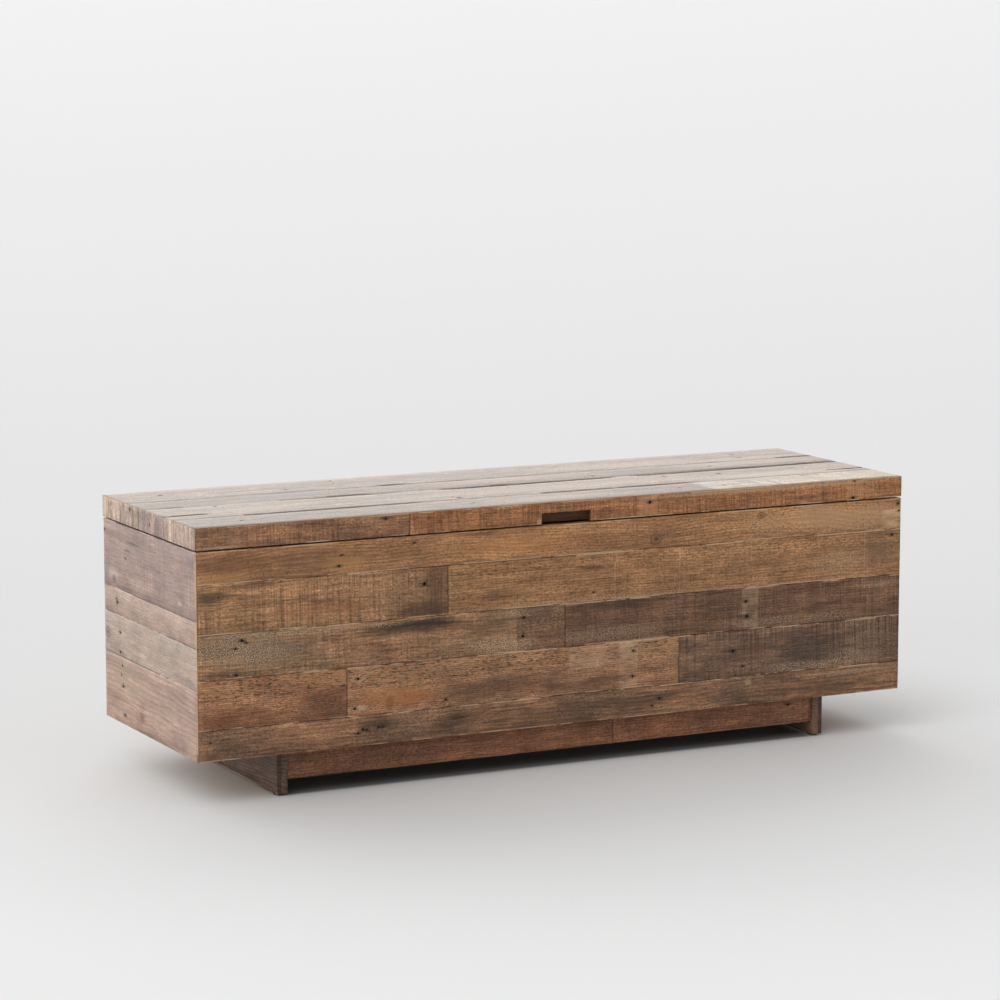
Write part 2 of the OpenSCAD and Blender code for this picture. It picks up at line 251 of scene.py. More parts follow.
def wood(name, plank):
    """Reclaimed softwood: growth rings, fibres, saw marks, stains, knots, nails and worn edges."""
    material, kit = new_finish(name)
    axes = kit.axes()
    low, high = plank["box"]
    along, across, through = plank["axes"]
    u, v, w = axes[along], axes[across], axes[through]
    seed = plank["seed"]

    # The planed inner side and the weathered outer side
    if plank["outward"][through] > 0:
        depth_in = high[through] - w
    else:
        depth_in = w - low[through]
    outside = kit.step(9 * MM, 6 * MM, depth_in)

    # Slow wander of the grain, and the growth rings cut at a low angle
    slow = kit.noise(kit.vector(u * 2.3 + seed, v * 9.0, w * 9.0 + seed), detail=3.0)
    sway = kit.noise(kit.vector(u * 9.0 + seed, v * 30.0, w * 20.0), detail=2.0)
    heart = (low[across] + high[across]) / 2 + plank["heart"] * MM
    side = v - heart + (slow - 0.5) * (plank["wander"] * MM)
    deep = (u - (low[along] + high[along]) / 2) * plank["slope"] + plank["depth"] * MM
    radius = kit.math("SQRT", side * side + deep * deep) + (sway - 0.5) * 0.004 + w * 0.35
    for knot in plank["knots"]:
        reach = ellipse(kit, u, v, (knot[0], knot[1], knot[2] * 4.0, knot[2] * 1.9))
        radius = radius + kit.math("EXPONENT", reach * reach * -1.0) * (knot[2] * 1.4)
    turn = kit.math("FRACT", radius / (plank["ring"] * MM))
    late = kit.step(0.25, 0.85, turn) * kit.step(1.0, 0.9, turn)

    # Colour wanders in blotches and streaks, fibres run along the grain
    streak = kit.noise(kit.vector(u * 6.0 + seed, v * 110.0, w * 110.0), detail=6.0, rough=0.68)
    blotch = kit.noise(kit.vector(u * 13.0, v * 30.0 + seed, w * 30.0), detail=5.0, rough=0.62)
    fibre = kit.noise(kit.vector(u * 36.0, v * 380.0 + seed, w * 380.0), detail=6.0, rough=0.78)
    thread = kit.noise(kit.vector(u * 10.0, v * 290.0, w * 290.0 + seed), detail=4.0, rough=0.6)
    grit = kit.noise(kit.vector(u * 230.0 + seed, v * 330.0, w * 330.0), detail=4.0, rough=0.75)
    crisp = (grit - 0.5) * 1.3 + (fibre - 0.5) * 0.9
    patch = kit.noise(kit.vector(u * 3.2 + seed, v * 8.0 + seed, w * 5.0), detail=4.0, rough=0.6)
    cloud = streak * 0.65 + blotch * 0.35 + crisp * 0.40
    colour = kit.mix(kit.step(0.35, 0.65, cloud), plank["dark"], plank["light"])
    colour = kit.mix(kit.step(0.46, 0.60, patch + crisp * 0.22) * plank["patch"], colour, plank["other"])
    shade = 1.0 - late * plank["figure"]
    shade = shade * (1.0 + (blotch - 0.5) * plank["mottle"])
    shade = shade * (1.0 + (fibre - 0.5) * plank["grain"])
    shade = shade * (1.0 - kit.step(0.56, 0.63, thread) * plank["threads"])
    planed = kit.shade(colour, shade)

    # Saw marks stand across the grain and come and go in patches
    lean = v * plank["lean"]
    marks = kit.noise(kit.vector((u + lean) * 400.0 + seed, v * 9.0, w * 9.0), detail=3.0)
    coarse = kit.noise(kit.vector((u + lean) * 165.0, v * 5.0 + seed, w * 5.0), detail=3.0)
    field = kit.noise(kit.vector(u * 6.0, v * 18.0 + seed, w * 16.0), detail=3.0)
    grip = (kit.step(0.36, 0.58, field) * 0.7 + 0.3) * plank["saw"]
    cut = kit.step(0.42, 0.64, marks) * 0.6 + kit.step(0.46, 0.68, coarse) * 0.4
    shade = shade * (1.0 + grip * (0.40 - cut * 0.85))
    shade = shade * (1.0 - kit.step(0.52, 0.61, grit) * plank["grit"])
    shade = shade * (1.0 + kit.step(0.47, 0.38, grit) * plank["grit"] * 0.9)
    colour = kit.shade(colour, shade)

    # Old wear: blooms, dashes of open grain, light specks and the ghosts of old battens
    for spot in plank["blooms"]:
        reach = ellipse(kit, u, v, spot) + (blotch - 0.5) * 1.6 + crisp * 1.1
        colour = kit.mix(kit.step(1.25, 0.35, reach) * spot[4], colour, spot[5])
    for low_v, high_v, amount in plank["dashes"]:
        dash = kit.noise(kit.vector(u * 105.0 + seed, v * 400.0, w * 30.0), detail=2.0)
        belt = kit.step(low_v - 0.004, low_v + 0.006, v) * kit.step(high_v + 0.003, high_v - 0.003, v)
        colour = kit.mix(kit.step(0.55, 0.62, dash) * belt * amount, colour, RUST)
    salt = kit.noise(kit.vector(u * 520.0 + seed, v * 640.0, w * 600.0), detail=2.0, rough=0.6)
    for spot in plank["specks"]:
        reach = ellipse(kit, u, v, spot) + (blotch - 0.5) * 2.2
        share = kit.step(0.51, 0.60, salt) * kit.step(1.2, 0.3, reach) * spot[4]
        colour = kit.mix(share, colour, CHALK)
    for left, right, foot, head, amount, hue in plank["patches"]:
        strip = kit.step(left - 0.0008, left + 0.0008, u) * kit.step(right + 0.0008, right - 0.0008, u)
        strip = strip * kit.step(foot - 0.001, foot + 0.001, v) * kit.step(head + 0.001, head - 0.001, v)
        colour = kit.mix(strip * kit.step(0.30, 0.66, blotch + crisp * 0.5) * amount, colour, hue)
    for place, level, half, width, amount in plank["seams"]:
        reach = ellipse(kit, u, v, (place, level, half, width)) + (fibre - 0.5) * 0.7
        colour = kit.mix(kit.step(1.2, 0.5, reach) * amount, colour, RUST)

    # Knots: a red-brown eye with a dark rim and a cracked middle
    for knot in plank["knots"]:
        reach = ellipse(kit, u, v, (knot[0], knot[1], knot[2] * 1.35, knot[2]))
        reach = reach + (sway - 0.5) * 0.9 + (fibre - 0.5) * 0.5
        eye = kit.step(1.2, 0.75, reach)
        rim = kit.step(0.5, 0.95, reach) * eye
        colour = kit.mix(eye * 0.6, colour, kit.shade(plank["dark"], 0.5 + fibre * 0.6))
        colour = kit.mix(rim * 0.45, colour, RUST)
        colour = kit.mix(kit.step(0.5, 0.2, reach) * 0.6, colour, RUST)

    # Nail holes: black inside, with a rust halo drawn out along the grain
    for hole in plank["holes"]:
        halo = ellipse(kit, u, v, (hole[0], hole[1], hole[2] * 4.0, hole[2] * 1.8))
        halo = halo + (fibre - 0.5) * 1.4
        colour = kit.mix(kit.step(1.2, 0.2, halo) * 0.6, colour, RUST)
        pit = ellipse(kit, u, v, (hole[0], hole[1], hole[2], hole[2]))
        colour = kit.mix(kit.step(1.1, 0.8, pit), colour, tone(30, 18, 11))

    # Edges: dirt in the joints, pale where the arris is rubbed
    lower, upper = v - low[across], high[across] - v
    edge = kit.math("MINIMUM", lower, upper)
    rub = kit.noise(kit.vector(u * 8.0 + seed, v * 25.0, w * 25.0), detail=5.0, rough=0.7)
    arris = kit.math("SQRT", edge * edge + depth_in * depth_in)
    rubbed = arris + (fibre - 0.5) * 0.003
    worn = kit.step(0.0023, 0.0011, rubbed) * kit.step(0.49, 0.55, rub)
    colour = kit.mix(worn * plank["rub"], colour, plank["pale"])
    joints = []
    if plank["joined"][0]:
        joints.append(lower)
    if plank["joined"][1]:
        joints.append(upper)
    if plank["butted"]:
        joints += [u - low[along], high[along] - u]
    for joint in joints:
        colour = kit.mix(kit.step(0.0014, 0.0005, joint) * (1.0 - worn) * 0.55, colour, RUST)
    colour = kit.mix(outside, planed, colour)
    # Recesses: the inside of the finger notch is darkened, partly grime and partly painted shade
    for left, right, foot, head, skin_depth, depth in plank["recesses"]:
        inside = kit.step(left - 0.0006, left, u) * kit.step(right + 0.0006, right, u)
        inside = inside * kit.step(foot - 0.001, foot, v) * kit.step(head + 0.0006, head, v)
        inside = inside * kit.step(skin_depth, skin_depth + 0.002, w)
        inside = inside * kit.step(depth + 0.001, depth, w)
        colour = kit.mix(inside * 0.8, colour, GRIME_AND_SHADE)

    height = fibre * 0.5 - late * 0.2 - grip * cut * 0.6 + rub * 0.2 - kit.step(0.56, 0.7, grit) * 0.3
    gloss = plank["rough"] + (blotch - 0.5) * 0.35 + (fibre - 0.5) * 0.30
    kit.finish({
        "Base Color": colour,
        "Roughness": gloss,
        "Specular IOR Level": plank["shine"],
        "Normal": kit.bump(height, 0.0006, 0.8),
    })
    return material


def raw_steel(name, scale):
    """Zinc-plated steel: a brushed grain, dull blooms and a little grime."""
    material, kit = new_finish(name)
    x, y, z = kit.axes()
    brush = kit.noise(kit.vector(x * 60.0 * scale, y * 2400.0, z * 2400.0), detail=3.0)
    bloom = kit.noise(kit.vector(x * 90.0, y * 120.0, z * 120.0), detail=4.0, rough=0.65)
    grime = kit.step(0.56, 0.70, bloom)
    colour = kit.mix(bloom, tone(176, 172, 164), tone(206, 204, 200))
    colour = kit.mix(grime * 0.45, colour, tone(96, 84, 70))
    kit.finish({
        "Base Color": kit.shade(colour, 0.86 + brush * 0.28),
        "Metallic": 1.0 - grime * 0.5,
        "Roughness": 0.26 + brush * 0.16 + bloom * 0.16,
        "Normal": kit.bump(brush + bloom * 0.4, 0.00008, 0.6),
    })
    return material


def soft_rubber(name):
    """Dull moulded rubber with dust in its pores."""
    material, kit = new_finish(name)
    x, y, z = kit.axes()
    pores = kit.noise(kit.vector(x * 900.0, y * 900.0, z * 900.0), detail=2.0)
    dust = kit.noise(kit.vector(x * 160.0, y * 160.0, z * 160.0), detail=4.0, rough=0.65)
    kit.finish({
        "Base Color": kit.mix(kit.step(0.45, 0.75, dust), tone(44, 38, 34), tone(84, 76, 68)),
        "Roughness": 0.72 + dust * 0.2,
        "Normal": kit.bump(pores, 0.00015, 0.5),
    })
    return material


def veneer(name):
    """Plywood: a broad rotary-cut figure on the faces, plies in the edges."""
    material, kit = new_finish(name)
    x, y, z = kit.axes()
    slow = kit.noise(kit.vector(x * 1.6, y * 7.0, z), detail=3.0)
    fibre = kit.noise(kit.vector(x * 14.0, y * 420.0, z * 60.0), detail=5.0, rough=0.7)
    specks = kit.noise(kit.vector(x * 120.0, y * 700.0, z), detail=2.0)
    turn = kit.math("FRACT", (y + (slow - 0.5) * 0.24) * 24.0)
    late = kit.step(0.2, 0.8, turn) * kit.step(1.0, 0.86, turn)
    colour = kit.mix(slow, tone(188, 150, 106), tone(212, 178, 134))
    colour = kit.mix(late * 0.35, colour, tone(158, 114, 74))
    shade = (0.80 + fibre * 0.40) * (1.0 - kit.step(0.62, 0.70, specks) * 0.22)
    ply = kit.step(0.45, 0.55, kit.math("PINGPONG", z * 500.0, 1.0))
    facing = kit.node("NewGeometry", {}, {}, "Normal")
    upright = kit.math("ABSOLUTE", kit.node("SeparateXYZ", {}, {0: facing}, Z))
    rim = kit.step(0.7, 0.3, upright)
    colour = kit.mix(rim * (0.3 + ply * 0.5), colour, tone(128, 92, 60))
    kit.finish({
        "Base Color": kit.shade(colour, shade),
        "Roughness": 0.58 + fibre * 0.14,
        "Normal": kit.bump(fibre - late * 0.2, 0.0003, 0.6),
    })
    return material


# ---- Boards ----

# Corners from which features are measured, as seen from outside, in metres
BOX_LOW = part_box("front_board_1")[0]
LID_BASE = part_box("lid_front_edge_1")[0]

# Each face of the chest: its axes along, across and through the boards, and its corner. An edge
# strip whose grain stands upright or a hidden part has a face of its own for the grain's direction
FACES = {
    "front": ((X, Z, Y), BOX_LOW),
    "back": ((X, Z, Y), BOX_LOW),
    "left": ((Y, Z, X), BOX_LOW),
    "right": ((Y, Z, X), BOX_LOW),
    "lid_top": ((X, Y, Z), LID_BASE),
    "lid_x": ((X, Z, Y), LID_BASE),
    "lid_y": ((Y, Z, X), LID_BASE),
    "base_x": ((X, Z, Y), Vector((BOX_LOW[X], BOX_LOW[Y], 0))),
    "base_y": ((Y, Z, X), Vector((BOX_LOW[X], BOX_LOW[Y], 0))),
    "lid_end": ((Z, Y, X), LID_BASE),
    "floor_x": ((X, Y, Z), LID_BASE),
    "floor_y": ((Y, X, Z), LID_BASE),
    "post": ((Z, X, Y), LID_BASE),
}

OUTWARD = {
    "front": Vector((0, -1, 0)), "back": Vector((0, 1, 0)),
    "left": Vector((-1, 0, 0)), "right": Vector((1, 0, 0)),
    "lid_top": Vector((0, 0, 1)),
}

# What a board is given, unless it says otherwise. Tones, then the wood's figure, then the wear.
# Features are in millimetres on the face, u along and v across it:
#   knots, holes      (u, v, radius)
#   blooms            (u, v, half length, half width, amount, tone)
#   specks            (u, v, half length, half width, amount)
#   dashes            (lowest v, highest v, amount)
#   patches           (lowest u, highest u, lowest v, highest v, amount, tone)
#   splits            (first u, last u, v, width, depth)
#   dips              (first u, last u, v, reach, drop)
# Recesses are in metres: (left, right, foot, head, where the painted shade and grime begin, where they end)
DEFAULTS = {
    "light": tone(158, 120, 90), "dark": tone(120, 88, 64), "other": tone(120, 98, 80),
    "pale": tone(208, 178, 146), "patch": 0.5, "figure": 0.14, "ring": 4.5, "heart": -60.0,
    "wander": 22.0, "slope": 0.03, "depth": 8.0, "saw": 0.35, "lean": 0.02, "rub": 0.75,
    "rough": 0.58, "shine": 0.3, "mottle": 0.85, "grain": 1.9, "grit": 0.5, "threads": 0.25,
    "butted": True, "joined": (True, True), "knots": (), "holes": (), "blooms": (), "dashes": (),
    "specks": (), "patches": (), "recesses": (), "splits": (), "dips": (), "step": 10.0,
    "arris": 0.45, "chip": 0.55, "dent": 0.22,
}


def solid_of(node):
    """A merged copy of a CAD node's mesh, with its flat faces whole."""
    bm = bmesh.new()
    bm.from_mesh(frame["nodes"][node].data)
    bmesh.ops.remove_doubles(bm, verts=bm.verts, dist=1e-5)
    bmesh.ops.dissolve_limit(
        bm, angle_limit=math.radians(1), verts=bm.verts, edges=bm.edges)
    bm.normal_update()
    return bm


def everything(bm):
    return bm.verts[:] + bm.edges[:] + bm.faces[:]


def ease_mitres(bm, depth):
    """Planes off the sharp arris of each mitre, so that both of its boards end flush."""
    planes = []
    for edge in bm.edges:
        one, two = [face.normal for face in edge.link_faces]
        if one.dot(two) > -0.5:
            continue
        outer, mitre = (one, two) if max(map(abs, one)) > 0.99 else (two, one)
        facing = (outer - outer.dot(mitre) * mitre).normalized()
        planes.append((edge.verts[0].co - facing * depth, facing))
    for place, facing in planes:
        cut = bmesh.ops.bisect_plane(
            bm, geom=everything(bm), dist=1e-7, plane_co=place, plane_no=facing,
            clear_outer=True)
        rim = [e for e in cut["geom_cut"] if isinstance(e, bmesh.types.BMEdge)]
        bmesh.ops.holes_fill(bm, edges=rim, sides=0)
    bm.normal_update()


def ease_arrises(bm, width):
    square = [e for e in bm.edges
              if len(e.link_faces) == 2 and abs(e.link_faces[0].normal.dot(e.link_faces[1].normal)) < 0.5]
    bmesh.ops.bevel(
        bm, geom=square, offset=width, offset_type="OFFSET", affect="EDGES", segments=2,
        profile=0.5, material=-1, clamp_overlap=True)
    bm.normal_update()


def cut_rings(bm, axis, step):
    """Cuts the board across one axis at even steps."""
    places = [v.co[axis] for v in bm.verts]
    low, high = min(places), max(places)
    count = max(1, round((high - low) / step))
    facing = Vector((0, 0, 0))
    facing[axis] = 1
    for i in range(1, count):
        at = Vector((0, 0, 0))
        at[axis] = low + (high - low) * i / count
        bmesh.ops.bisect_plane(
            bm, geom=everything(bm), dist=1e-7, plane_co=at, plane_no=facing)


def weather(bm, seed, dent, chip):
    """Lets the faces wave a little and nibbles the arrises, always inward."""
    bm.normal_update()
    shift = Vector((seed, seed * 0.37, -seed))
    moves = []
    for vert in bm.verts:
        wave = 0.5 + 0.5 * noise.noise(vert.co * 14 + shift)
        inward = dent * wave
        if max(map(abs, vert.normal)) < 0.97:
            bite = max(0.0, noise.noise(vert.co * 60 + shift) + 0.25)
            inward += chip * bite * (0.4 + abs(noise.noise(vert.co * 170 + shift)))
        moves.append(inward)
    for vert, inward in zip(bm.verts, moves):
        vert.co -= vert.normal * inward


def sink_edge(bm, facts, outward, first, last, reach, drop):
    """Lets a cupped board fall away toward one edge, so that its neighbour stands proud."""
    along, across, through = facts["axes"]
    low, high = facts["box"]
    for vert in bm.verts:
        if vert.normal.dot(outward) < 0.5:
            continue
        near = 1 - abs(vert.co[across] - first[1]) / (reach * MM)
        inside = min(vert.co[along] - first[0], last[0] - vert.co[along]) / (30 * MM)
        if near > 0 and inside > 0:
            vert.co -= outward * (drop * MM * near * near * min(1.0, inside))


def cone_cutter(bm, place, outward, radius, depth, seed):
    """An uneven cone that leaves the hole of an old nail."""
    made = bmesh.ops.create_cone(
        bm, cap_ends=True, segments=10, radius1=radius * 0.55, radius2=radius * 1.15, depth=depth * 2)
    turn = outward.to_track_quat("Z", "Y").to_matrix().to_4x4()
    squeeze = Matrix.Diagonal((1.0 + 0.25 * math.sin(seed * 7), 1.0, 1.0, 1.0))
    bmesh.ops.transform(bm, matrix=Matrix.Translation(place) @ turn @ squeeze, verts=made["verts"])


def lens_cutter(bm, place, axes, half_length, half_width, depth):
    """A long thin lens that leaves a drying split or an open joint."""
    made = bmesh.ops.create_uvsphere(bm, u_segments=10, v_segments=12, radius=1.0)
    along, across, through = axes
    size = Vector((0, 0, 0))
    size[along], size[across], size[through] = half_length, half_width, depth
    for vert in made["verts"]:
        full = max(0.05, 1 - vert.co.z ** 2) ** -0.25
        co = Vector((vert.co.z, vert.co.x * full, vert.co.y * full))
        spread = Vector((0, 0, 0))
        spread[along], spread[across], spread[through] = co[0], co[1], co[2]
        sway = noise.noise(Vector((co[0] * 3, half_length * 90, 0))) * half_width * 1.2
        vert.co = Vector((spread[i] * size[i] for i in range(3))) + place
        vert.co[across] += sway


def mesh_object(name, bm):
    mesh = bpy.data.meshes.new(name)
    bm.to_mesh(mesh)
    bm.free()
    made = bpy.data.objects.new(name, mesh)
    bpy.context.scene.collection.objects.link(made)
    return made


def volume_of(mesh):
    bm = bmesh.new()
    bm.from_mesh(mesh)
    volume = bm.calc_volume()
    bm.free()
    return volume


def carve(piece, cutter, crossing=False):
    """Takes the cutter's shape out of the piece and removes the cutter."""
    whole = volume_of(piece.data)
    carving = piece.modifiers.new("carve", "BOOLEAN")
    carving.operation = "DIFFERENCE"
    carving.solver = "EXACT"
    carving.use_self = crossing
    carving.object = cutter
    bpy.context.view_layer.update()
    shaped = piece.evaluated_get(bpy.context.evaluated_depsgraph_get())
    carved = bpy.data.meshes.new_from_object(shaped)
    piece.modifiers.clear()
    piece.data = carved
    bpy.data.objects.remove(cutter)
    left = volume_of(carved)
    if not 0.9 * whole < left <= whole:
        raise RuntimeError(f"{piece.name}: carving left {left} of {whole}")


def smooth(piece, degrees=50):
    piece.data.shade_smooth()
    piece.data.set_sharp_from_angle(angle=math.radians(degrees))


def body_of_node(node):
    for body, members in frame["record"]["behaviour"]["bodies"].items():
        if node in members:
            return body


def slot_of_node(node):
    for row in frame["record"]["subparts"]:
        if row["node"] == node:
            return row["material_slot"]


def stand_for(piece, node):
    """The piece takes a CAD node's place and body."""
    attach(piece, body_of_node(node))
    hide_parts(node)
    slot_of_node(node)


def face_point(face, u, v):
    """Object coordinates along and across a face for a place on it in millimetres."""
    axes, corner = FACES[face]
    return corner[axes[0]] + u * MM, corner[axes[1]] + v * MM


def plank_facts(node, face, outward, seed, given):
    """All of a board's values, with its features placed in object coordinates."""
    facts = {**DEFAULTS, **given}
    facts["axes"] = FACES[face][0]
    facts["box"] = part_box(node)
    facts["seed"] = seed
    facts["outward"] = outward
    spots = {"knots": 1, "holes": 1, "blooms": 2, "specks": 2}
    for kind, sizes in spots.items():
        placed = []
        for spot in facts[kind]:
            measures = [m * MM for m in spot[2:2 + sizes]]
            placed.append((*face_point(face, spot[0], spot[1]), *measures, *spot[2 + sizes:]))
        facts[kind] = placed
    patches = []
    for left, right, foot, head, share, hue in facts["patches"]:
        u0, v0 = face_point(face, left, foot)
        u1, v1 = face_point(face, right, head)
        patches.append((u0, u1, v0, v1, share, hue))
    facts["patches"] = patches
    facts["dashes"] = [
        (face_point(face, 0, a)[1], face_point(face, 0, b)[1], share)
        for a, b, share in facts["dashes"]]
    facts["seams"] = []
    for start, end, level, width, depth in facts["splits"]:
        place = face_point(face, (start + end) / 2, level)
        half = (end - start) * MM * 0.52
        facts["seams"].append((*place, half, width * MM * 0.9, min(0.85, width * 0.2)))
    return facts


def carve_features(piece, facts, face, outward):
    """Nail holes and splits are real hollows."""
    along, across, through = facts["axes"]
    low, high = facts["box"]
    surface = high[through] if outward[through] > 0 else low[through]
    bm = bmesh.new()
    for i, hole in enumerate(facts["holes"]):
        place = Vector((0, 0, 0))
        place[along], place[across], place[through] = hole[0], hole[1], surface
        cone_cutter(bm, place, outward, hole[2] * 0.85, 5 * MM, i + facts["seed"])
    for start, end, v, width, depth in facts["splits"]:
        u0, at_v = face_point(face, start, v)
        u1 = face_point(face, end, v)[0]
        place = Vector((0, 0, 0))
        place[along], place[across], place[through] = (u0 + u1) / 2, at_v, surface
        lens_cutter(bm, place, facts["axes"], (u1 - u0) / 2, width * MM / 2, depth * MM)
    if not bm.verts:
        bm.free()
        return
    bmesh.ops.recalc_face_normals(bm, faces=bm.faces)
    carve(piece, mesh_object("cutter", bm), bool(facts["splits"]))


def add_board(node, face, outward, seed, **given):
    """A worn board in place of its plain CAD solid, with its own wood."""
    facts = plank_facts(node, face, outward, seed, given)
    along, across, through = facts["axes"]
    bm = solid_of(node)
    ease_mitres(bm, 0.7 * MM)
    ease_arrises(bm, facts["arris"] * MM)
    cut_rings(bm, along, facts["step"] * MM)
    cut_rings(bm, across, 18 * MM)
    weather(bm, seed, facts["dent"] * MM, facts["chip"] * MM)
    for start, end, level, reach, drop in facts["dips"]:
        first, last = face_point(face, start, level), face_point(face, end, level)
        sink_edge(bm, facts, outward, first, last, reach, drop)
    piece = mesh_object("worn_" + node, bm)
    carve_features(piece, facts, face, outward)
    smooth(piece)
    piece.data.materials.clear()
    piece.data.materials.append(wood(node + "_wood", facts))
    stand_for(piece, node)


